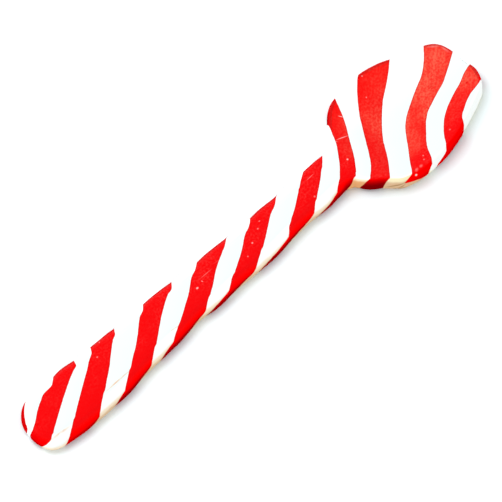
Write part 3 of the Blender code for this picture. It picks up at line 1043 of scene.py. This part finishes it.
# %% Cook the white
# painted light on the white: lighter in the bowl, darker where it faces the main light, lighter and
# more neutral on the sides and along the far edge
bowl_painted_light_white = blend(ramp(lit_note, 0.84, 0.98), BOWL_PAINTED_LIGHT_WHITE, LIT_WHITE)
white = blend(in_bowl, WHITE, bowl_painted_light_white)
painted_light_white_side = maths("MAXIMUM", ramp(near_note, 0.03, 0.4), ramp(down_note, 0.0, 0.3, 0.0, 0.8))
painted_light_white_side = maths("MAXIMUM", painted_light_white_side, painted_far_edge_note)
white = blend(painted_light_white_side, white, PAINTED_LIGHT_WHITE)
# painted shade on the near side: first cream, then tan
white = blend(ramp(painted_cream_shade, 0.33, 0.56), white, blend(in_bowl, CREAM_SHADE, BOWL_CREAM_SHADE))
white = blend(ramp(painted_tan_shade, 0.56, 0.84), white, blend(at_neck, TAN_SHADE, NECK_TAN_SHADE))

# %% Lay the seams' painted shade over the white
# tan and brown: painted shade in the seams' creases
SEAM_SHADE_TAN = (0.70, 0.50, 0.38, 1.0)
SEAM_SHADE_BROWN = (0.42, 0.24, 0.11, 1.0)
broken = ramp(cloud(millimetres, 0.8), 0.3, 0.6, 0.4, 1.0)
seam_shade = maths("MULTIPLY", marked(SEAM_SHADES, flat_place), broken)
white = blend(seam_shade, white, SEAM_SHADE_TAN)
steep_near_side = maths("MULTIPLY", near_share, steep)
wall_seam_shade = maths("MULTIPLY", marked(WALL_SEAM_SHADES, wall_place), steep_near_side)
white = blend(wall_seam_shade, white, SEAM_SHADE_BROWN)
print("With the white and its seams the tree has", len(tree.nodes), "nodes.")

# %% [markdown]
# ## Polish
#
# Both colours share one polish. Boiled sugar is glossy, but this spoon lies in light so soft that
# hardly a highlight shows, and none on its steep sides. The gloss is therefore kept low on the
# flats and nil on the sides, a little rougher where the red has its painted sheen, and a very fine
# bump breaks it up.

# %% Put the strands together and polish them
SUGAR_IOR = 1.5
BUMP_METRES = 0.00006

shader_colour = blend(is_red, white, red)
tree.links.new(shader_colour, shader.inputs["Base Color"])
polish = maths("MULTIPLY_ADD", speckle, 0.15, 0.22)
# the roughness is also a little higher where the painted sheen lies
tree.links.new(maths("MULTIPLY_ADD", painted_sheen_and_roughness, 0.15, polish), shader.inputs["Roughness"])
shader.inputs["IOR"].default_value = SUGAR_IOR
tree.links.new(ramp(slope_note, 0.1, 0.5, 0.05, 0.0), shader.inputs["Specular IOR Level"])

height = maths("ADD", maths("MULTIPLY", grain, 0.6), maths("MULTIPLY", speckle, 0.5))
bump = add("ShaderNodeBump", {"Height": height, "Strength": 0.25, "Distance": BUMP_METRES})
tree.links.new(bump.outputs[0], shader.inputs["Normal"])
mesh.materials.append(candy)
print("The sugar's material has", len(tree.nodes), "nodes.")

# %% [markdown]
# ## Floor and light
#
# The spoon lies on plain white paper. Light comes softly from all round, with a little more from
# the upper left of the picture, so the shadow is short and shows mostly along the near side. A
# world colour gives the even light, and one large square lamp the rest. A second lamp, low on the
# handle's far side, is there for a faint sheen.

# %% The floor
FLOOR_HALF = 2.0
FLOOR_GAP = 0.02
PAPER_WHITE = (0.87, 0.945, 0.965, 1.0)
paper = bpy.data.materials.new("white_paper")
paper.use_nodes = True
paper_shader = paper.node_tree.nodes["Principled BSDF"]
paper_shader.inputs["Base Color"].default_value = PAPER_WHITE
paper_shader.inputs["Roughness"].default_value = 0.9
paper_shader.inputs["Specular IOR Level"].default_value = 0.0
floor_mesh = bpy.data.meshes.new("floor")
corners = ((-1, -1), (1, -1), (1, 1), (-1, 1))
floor_points = [(a * FLOOR_HALF, b * FLOOR_HALF, -FLOOR_GAP * MM) for a, b in corners]
floor_mesh.from_pydata(floor_points, [], [(0, 1, 2, 3)])
floor_mesh.materials.append(paper)
floor = bpy.data.objects.new("floor", floor_mesh)
bpy.context.scene.collection.objects.link(floor)
floor.visible_glossy = False
print("The floor is", 2.0 * FLOOR_HALF, "m wide.")

# %% The light
SKY_STRENGTH = 0.94
world = bpy.data.worlds.new("studio")
world.use_nodes = True
sky = world.node_tree.nodes["Background"]
sky.inputs["Color"].default_value = (1.0, 1.0, 1.0, 1.0)
sky.inputs["Strength"].default_value = SKY_STRENGTH
bpy.context.scene.world = world


def softbox(name, place, size, power, in_gloss):
    """A square light that faces the middle of the spoon."""
    light = bpy.data.lights.new(name, "AREA")
    light.shape = "SQUARE"
    light.size = size
    light.energy = power
    lamp = bpy.data.objects.new(name, light)
    lamp.location = place
    lamp.rotation_euler = Vector(place).to_track_quat("Z", "Y").to_euler()
    lamp.visible_glossy = in_gloss
    bpy.context.scene.collection.objects.link(lamp)
    return lamp


SHEEN_PLACE = (-0.90, 0.50, 0.50)
key = softbox("key_softbox", KEY_PLACE, size=0.5, power=4.2, in_gloss=False)
sheen = softbox("sheen_softbox", SHEEN_PLACE, size=0.45, power=1.0, in_gloss=True)
bpy.context.scene.view_settings.view_transform = "Standard"
print("The lamps give", round(key.data.energy, 1), "and", round(sheen.data.energy, 1), "watts.")

# %% [markdown]
# ## The camera
#
# The photograph looks down steeply, from the handle's side, with a lens so long that near and far
# parts look equally large. The camera is placed along that direction, and its aim is moved a
# little so that the origin of the spoon lands on the pixel where the photograph has it.

# %% Place the camera
IMAGE_SIDE = 502
AZIMUTH = -42.73
ELEVATION = 67.0
PIXELS_PER_MM = 4.258
ORIGIN_PIXEL = (248.38, 252.51)
LENS = 1650.0
SENSOR = 36.0

turn, tilt = np.radians(AZIMUTH), np.radians(ELEVATION)
right = Vector((np.cos(turn), np.sin(turn), 0.0))
back = Vector((np.sin(turn) * np.cos(tilt), -np.cos(turn) * np.cos(tilt), np.sin(tilt)))
up = back.cross(right)
middle = 0.5 * IMAGE_SIDE
aim = right * (middle - ORIGIN_PIXEL[0]) + up * (ORIGIN_PIXEL[1] - middle)
aim = aim * (MM / PIXELS_PER_MM)
seen_width = IMAGE_SIDE / PIXELS_PER_MM * MM
camera = bpy.data.cameras.new("camera")
camera.lens = LENS
camera.sensor_width = SENSOR
camera.clip_end = 20.0
viewer = bpy.data.objects.new("camera", camera)
viewer.location = aim + back * (seen_width * LENS / SENSOR)
viewer.rotation_euler = back.to_track_quat("Z", "Y").to_euler()
bpy.context.scene.collection.objects.link(viewer)
bpy.context.scene.camera = viewer
print("The picture is", round(seen_width / MM, 1), "mm wide at the spoon.")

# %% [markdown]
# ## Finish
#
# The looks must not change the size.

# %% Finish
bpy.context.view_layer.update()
